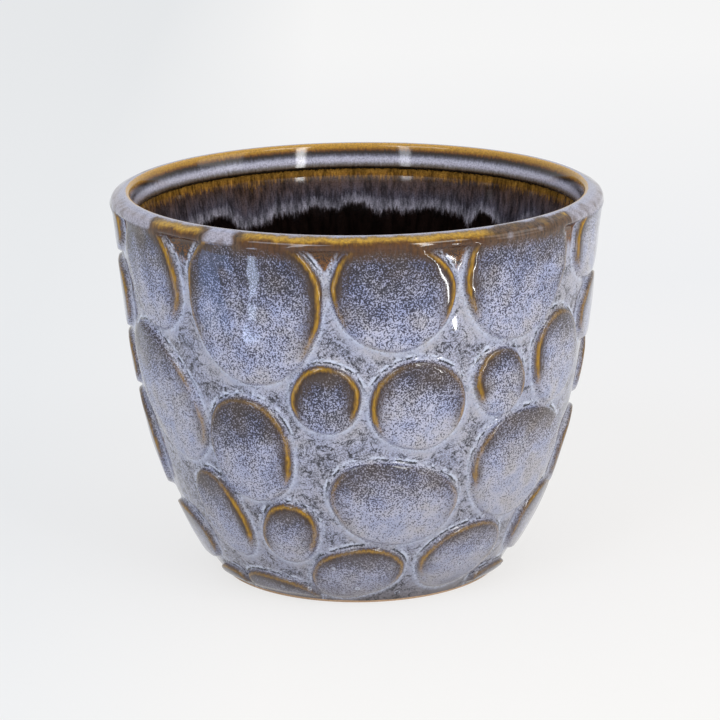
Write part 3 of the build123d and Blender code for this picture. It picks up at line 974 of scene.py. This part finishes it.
there = add(tree, "ShaderNodeMapRange", {"Value": at["rim_gold"], "From Min": 0.1, "From Max": 0.4})
there = add(tree, "ShaderNodeMath", {0: shoulder.outputs["Alpha"], 1: there}, operation="MULTIPLY")
face = add(tree, "ShaderNodeMix", {0: there, 6: face, 7: golden}, data_type="RGBA")
print("nodes after the shoulder:", len(tree.nodes))

# %% [markdown]
# ### Bare clay, and the gloss
#
# The foot ring is wiped clean before firing, or the pot would stick to the kiln shelf, so its
# underside is bare buff clay: rough, where all the rest is a smooth glass. The glass has an
# index of refraction of 1.5, and the specks stand a hundredth of a millimetre or two proud,
# which a faint bump shows in the highlights.

# %% Clay, gloss and shader
glass_roughness = 0.07
clay_roughness = 0.75
clay_edge = add(tree, "ShaderNodeMath", {0: patches, 1: 0.5, 2: at["bare"]}, operation="MULTIPLY_ADD")
clay_share = add(tree, "ShaderNodeMapRange", {"Value": clay_edge, "From Min": 0.72, "From Max": 0.80})
clay = add(tree, "ShaderNodeMix", {0: specks, 6: "#a87a50", 7: "#d9bfa0"}, data_type="RGBA")
face = add(tree, "ShaderNodeMix", {0: clay_share, 6: face, 7: clay}, data_type="RGBA")
gloss = add(tree, "ShaderNodeMapRange", {
    "Value": clay_share, "To Min": glass_roughness, "To Max": clay_roughness})
skin = add(tree, "ShaderNodeBump", {"Height": specks, "Strength": 0.2, "Distance": 0.02 * MM})
shader = add(tree, "ShaderNodeBsdfPrincipled", {
    "Base Color": face, "Roughness": gloss, "IOR": 1.5, "Normal": skin})
tree.links.new(shader.outputs[0], output.inputs["Surface"])
pot_mesh.materials.append(glaze)
print("glaze has", len(tree.nodes), "nodes")

# %% [markdown]
# ## Floor
#
# The pot stands on a white sweep. The camera looks down, so a wide pale floor fills the whole
# picture, and no backdrop is needed. The paper is painted a little darker in a band behind the
# pot and towards the left, which is painted shade. What the camera sees, and what the gloss
# mirrors, is mostly that painted colour at full brightness, and the rest is lit, which keeps
# the pot's shadow on it.

# %% Floor
floor_radius = 6.0
floor_sides = 64
own_brightness = 0.8

floor_mesh = bpy.data.meshes.new("floor")
turn = np.linspace(0, 2 * math.pi, floor_sides, endpoint=False)
floor_edge = [(floor_radius * math.sin(t), floor_radius * math.cos(t), 0) for t in turn]
floor_mesh.from_pydata(floor_edge, [], [list(range(floor_sides - 1, -1, -1))])
floor = bpy.data.objects.new("floor", floor_mesh)
bpy.context.scene.collection.objects.link(floor)

sweep, tree, output = new_material("white_paper_sweep")
place = add(tree, "ShaderNodeTexCoord")
place = add(tree, "ShaderNodeSeparateXYZ", {0: place.outputs["Object"]})
depth = add(tree, "ShaderNodeMapRange", {"Value": place.outputs["Y"], "From Min": -0.2, "From Max": 1.8})
# the paper's colour, painted darker in a band behind the pot as painted shade
paper_and_painted_shade = add(tree, "ShaderNodeValToRGB", {0: depth}, stops=(
    (0.0, "#f4f3f1"), (0.12, "#f2f1f0"), (0.30, "#eeeff1"), (0.65, "#f8f8f8")))
# painted shade: the paper is painted darker towards the left
leftward = add(tree, "ShaderNodeMapRange", {
    "Value": place.outputs["X"], "From Min": -0.03, "From Max": -0.15})
paper_and_painted_shade = add(tree, "ShaderNodeMix", {0: leftward, 6: paper_and_painted_shade, 7: "#e9ebed"}, data_type="RGBA")
paper = add(tree, "ShaderNodeBsdfDiffuse", {"Color": paper_and_painted_shade})
backlight = add(tree, "ShaderNodeEmission", {"Color": paper_and_painted_shade, "Strength": 1.0})
rays = add(tree, "ShaderNodeLightPath")
seen = rays.outputs["Is Camera Ray"]
for kind in ("Is Glossy Ray", "Is Transmission Ray"):
    seen = add(tree, "ShaderNodeMath", {0: seen, 1: rays.outputs[kind]}, operation="MAXIMUM")
seen = add(tree, "ShaderNodeMath", {0: seen, 1: own_brightness}, operation="MULTIPLY")
paper = add(tree, "ShaderNodeMixShader", {0: seen, 1: paper, 2: backlight})
tree.links.new(paper.outputs[0], output.inputs["Surface"])
floor_mesh.materials.append(sweep)
print("floor radius", floor_radius, "m")

# %% [markdown]
# ## Light
#
# A bright even sky lights the object at a plain level. Glossy glaze is known by what it mirrors,
# so a few lamps stand where the photograph's windows and strips must have been. Their places
# come from the highlights: from a highlight on the pot, the camera's ray is mirrored in the
# wall, and where it goes the lamp is. The wall leans out, so it mirrors what lies near the
# ground, and three strips lie there in front of the pot, outside the picture, facing up.

# %% Sky
world = bpy.data.worlds.new("studio")
bpy.context.scene.world = world
world.use_nodes = True
tree = world.node_tree
tree.nodes.clear()
sky = add(tree, "ShaderNodeBackground", {"Color": "#f6f5f4", "Strength": 0.85})
output = tree.nodes.new("ShaderNodeOutputWorld")
tree.links.new(sky.outputs[0], output.inputs["Surface"])
bpy.context.scene.view_settings.view_transform = "Standard"
print("sky strength", sky.inputs["Strength"].default_value)


# %% Lamps
def lamp(name, turn_deg, distance, rise, tilt_deg, wide, long, brightness, tint):
    """A rectangular lamp, placed by its direction round the pot, its distance from the axis and
    its height, with sizes in mm. Tilt 0 faces down, 90 faces the pot, 180 faces up. A surface
    of brightness b and area A takes b times pi times A watts, where white paper's b is 1."""
    turn = math.radians(turn_deg)
    light = bpy.data.lights.new(name, "AREA")
    light.shape = "RECTANGLE"
    light.size, light.size_y = wide * MM, long * MM
    light.energy = brightness * math.pi * light.size * light.size_y
    light.color = colour(tint)[:3]
    holder = bpy.data.objects.new(name, light)
    holder.location = np.array((distance * math.sin(turn), -distance * math.cos(turn), rise)) * MM
    holder.rotation_euler = (math.radians(tilt_deg), 0, turn)
    holder.visible_camera = False
    bpy.context.scene.collection.objects.link(holder)
    print(f"{name}: {light.energy:.2f} W at", [round(v, 2) for v in holder.location])


# name, direction, distance, height, tilt, width, length, brightness, tint
lamp("window_left", -36, 1100, 1050, 46, 800, 500, 4.0, "#e3ecff")
lamp("window_right", 46, 1100, 1050, 46, 420, 500, 5.0, "#ffffff")
lamp("lamp_right", 31, 1200, 620, 65, 110, 1000, 13.0, "#ffffff")
lamp("lamp_left", -27, 1200, 620, 65, 130, 900, 6.0, "#f2f6ff")
lamp("side_right", 80, 1200, 700, 62, 700, 700, 1.4, "#ffffff")
lamp("strip_left", -45, 690, 2, 180, 26, 780, 7.5, "#cfe0ff")
lamp("glow_left", -66, 450, 2, 180, 85, 290, 2.2, "#86acee")
lamp("strip_right", 42, 700, 2, 180, 8, 800, 45.0, "#ffffff")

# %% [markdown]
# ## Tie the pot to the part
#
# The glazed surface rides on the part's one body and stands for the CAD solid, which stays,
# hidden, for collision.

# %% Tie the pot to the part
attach(pot, "root")
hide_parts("pot")
